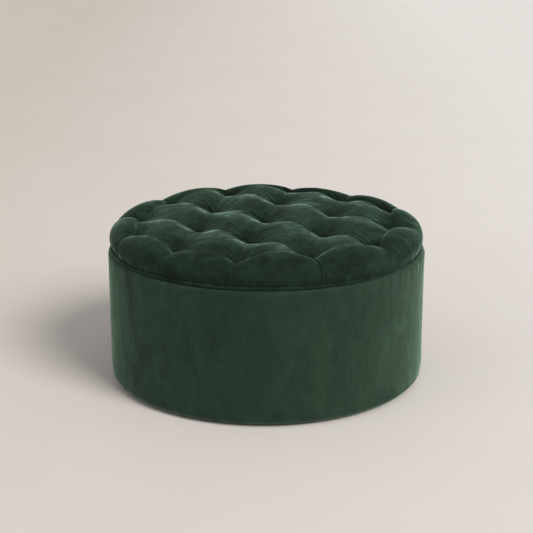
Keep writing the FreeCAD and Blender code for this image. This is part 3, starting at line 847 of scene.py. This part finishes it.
def makeWallLining():
    # The cloth inside the drum: an upright band whose faces both wander inwards between its held edges
    low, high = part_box("wall_lining")
    outer = high[0] * linings["flats"]
    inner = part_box("floor_lining")[1][0] * linings["flats"]
    up = np.linspace(low[2], high[2], 90)
    profile = np.concatenate([np.stack([inner + 0 * up, up], -1), np.stack([outer + 0 * up, up[::-1]], -1)])
    points, faces = turned(profile, 600)
    x, y, z = points[..., 0], points[..., 1], points[..., 2]
    free = ease((z - low[2] - 10 * mm) / (30 * mm)) * ease((high[2] - 10 * mm - z) / (30 * mm))
    wander = 1 + 0.7 * waves(x, y, 0.3 * z, 54, 120 * mm) + 0.5 * waves(x, y, 0.2 * z, 55, 34 * mm)
    wander = wander.clip(0, 2) / 2
    scale = 1 - linings["wallSlack"] * wander * free / outer
    mesh = meshOf("wallLining", np.stack([x * scale, y * scale, z], -1), faces)
    weld(mesh)
    piece = place("wallLining", mesh, liningCloth, "drum", "lining_cloth", ["wall_lining"])


def makeWallPadding():
    # The foam round the drum's board, with soft corners, just inside the velvet
    low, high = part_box("wall_padding")
    inner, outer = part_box("outer_wall_board")[1][0], high[0]
    corner, outer = linings["corner"], outer - 1 * mm
    up = np.linspace(low[2] + corner, high[2] - corner, 60)
    profile = np.concatenate([
        np.stack([inner + 0 * up, up[::-1]], -1), [(inner, low[2])],
        arcRows(outer - corner, low[2] + corner, corner, -90, 0, 10),
        np.stack([outer + 0 * up, up], -1)[1:-1],
        arcRows(outer - corner, high[2] - corner, corner, 0, 90, 10), [(inner, high[2])]])
    points, faces = turned(profile, 480)
    x, y, z = points[..., 0], points[..., 1], points[..., 2]
    dent = 0.5 * mm * (1 + waves(x, y, z, 56, 90 * mm)).clip(0, 2) / 2
    dent = dent * ease((np.hypot(x, y) - inner) / (4 * mm))
    scale = 1 - dent / outer
    mesh = meshOf("wallPadding", np.stack([x * scale, y * scale, z], -1), faces)
    weld(mesh)
    piece = place("wallPadding", mesh, paleFoam, "drum", "foam", ["wall_padding"])


makeRound("lid", "lining_cloth")
makeRound("dust", "dust_cloth")
makeRound("floor", "lining_cloth")
makeWallLining()
makeWallPadding()
print("linings made")


# Materials of the nodes that stay. The cord inside the welt keeps the frame's own

kept = {
    "battens": battenWood, "floor_board": plywood, "mouth_hoop": plywood, "lid_board": plywood,
    "outer_wall_board": hardboard, "inner_wall_board": hardboard, "foam_slab": paleFoam,
    "tie_toggles": togglePlastic,
    "hoop_screws": steel, "floor_screws": steel, "ring_screws": steel, "glide_nails": steel,
    "glides": glidePlastic, "locating_ring": plyEdge,
}
for nodeName, material in kept.items():
    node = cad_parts[nodeName]
    if node.material_slots:
        for materialSlot in node.material_slots:
            materialSlot.material = material
    else:
        node.data.materials.append(material)


# Floor, light and camera

stage = {
    "floorShadedLeft": (0.58, 0.53, 0.48),
    "floorLitRight": (0.80, 0.765, 0.745),
    "reach": 60.0,
    "keyPlace": (2.3, -2.4, 2.9),
    "keyAngle": 28,
    "keyPower": 2.95,
    "fillPlace": (-3.0, -2.2, 2.0),
    "fillPower": 18,
    "world": 0.45,
    "backdrop": (0.62, 0.59, 0.565),
}


def makeStage():
    # One flat floor, wide enough to fill every view. Its tone is darker on the left and paler on the right,
    # in patches: painted fall-off of the key light from the right
    reach = stage["reach"]
    points = np.array([[-reach, -reach, 0], [reach, -reach, 0], [reach, reach, 0], [-reach, reach, 0]])
    mesh = meshOf("studioFloor", points, np.array([[0, 1, 2, 3]]))
    floor = bpy.data.objects.new("studioFloor", mesh)
    bpy.context.scene.collection.objects.link(floor)
    material, nodes, links, shader, coords = newMaterial("paleFloor")
    patches = noiseNode(nodes, links, coords, 1.6, 5.0, 0.6)
    across = nodes.new("ShaderNodeSeparateXYZ")
    links.new(coords, across.inputs[0])
    # Painted light: the floor darkens from right to left, away from the key
    keyLightDrift = nodes.new("ShaderNodeMapRange")
    keyLightDrift.inputs["From Min"].default_value = -1.6
    keyLightDrift.inputs["From Max"].default_value = 1.6
    links.new(across.outputs["X"], keyLightDrift.inputs["Value"])
    tone = mathNode(nodes, links, "ADD", mathNode(nodes, links, "MULTIPLY", keyLightDrift.outputs[0], 0.8),
                    mathNode(nodes, links, "MULTIPLY", patches, 0.2))
    links.new(rampNode(nodes, links, tone, [(0.1, stage["floorShadedLeft"]), (0.9, stage["floorLitRight"])]),
              shader.inputs["Base Color"])
    shader.inputs["Roughness"].default_value = 0.6
    shader.inputs["Specular IOR Level"].default_value = 0.2
    mesh.materials.append(material)


def aimed(name, data, position, target):
    thing = bpy.data.objects.new(name, data)
    bpy.context.scene.collection.objects.link(thing)
    thing.location = position
    thing.rotation_euler = (Vector(target) - Vector(position)).to_track_quat("-Z", "Y").to_euler()
    return thing


def makeLight():
    # The key is a sun with a wide disc, so that the floor is as bright far off as it is near
    key = bpy.data.lights.new("key", "SUN")
    key.angle = math.radians(stage["keyAngle"])
    key.energy = stage["keyPower"]
    key.color = (1.0, 0.975, 0.95)
    aimed("key", key, stage["keyPlace"], (0, 0, 0.25))
    fill = bpy.data.lights.new("fill", "AREA")
    fill.size = 3.0
    fill.energy = stage["fillPower"]
    aimed("fill", fill, stage["fillPlace"], (0, 0, 0.3))
    world = bpy.data.worlds.new("studio")
    world.use_nodes = True
    # The eye sees a backdrop of the floor's tone; the scene is lit by a softer one
    nodes, links = world.node_tree.nodes, world.node_tree.links
    lit = nodes["Background"]
    lit.inputs["Color"].default_value = (1.0, 0.99, 0.975, 1)
    lit.inputs["Strength"].default_value = stage["world"]
    seen = nodes.new("ShaderNodeBackground")
    seen.inputs["Color"].default_value = (*stage["backdrop"], 1)
    path = nodes.new("ShaderNodeLightPath")
    either = nodes.new("ShaderNodeMixShader")
    links.new(path.outputs["Is Camera Ray"], either.inputs["Fac"])
    links.new(lit.outputs[0], either.inputs[1])
    links.new(seen.outputs[0], either.inputs[2])
    links.new(either.outputs[0], nodes["World Output"].inputs["Surface"])
    bpy.context.scene.world = world


def makeCamera():
    lens = bpy.data.cameras.new("camera")
    lens.sensor_width = 36
    lens.lens = 1300 / 533 * 36
    camera = bpy.data.objects.new("camera", lens)
    bpy.context.scene.collection.objects.link(camera)
    camera.location = (0, -3.19, 1.238)
    camera.rotation_euler = (math.radians(90 - 16.81), 0, 0)
    bpy.context.scene.camera = camera


makeStage()
makeLight()
makeCamera()
bpy.context.scene.view_settings.view_transform = "Standard"
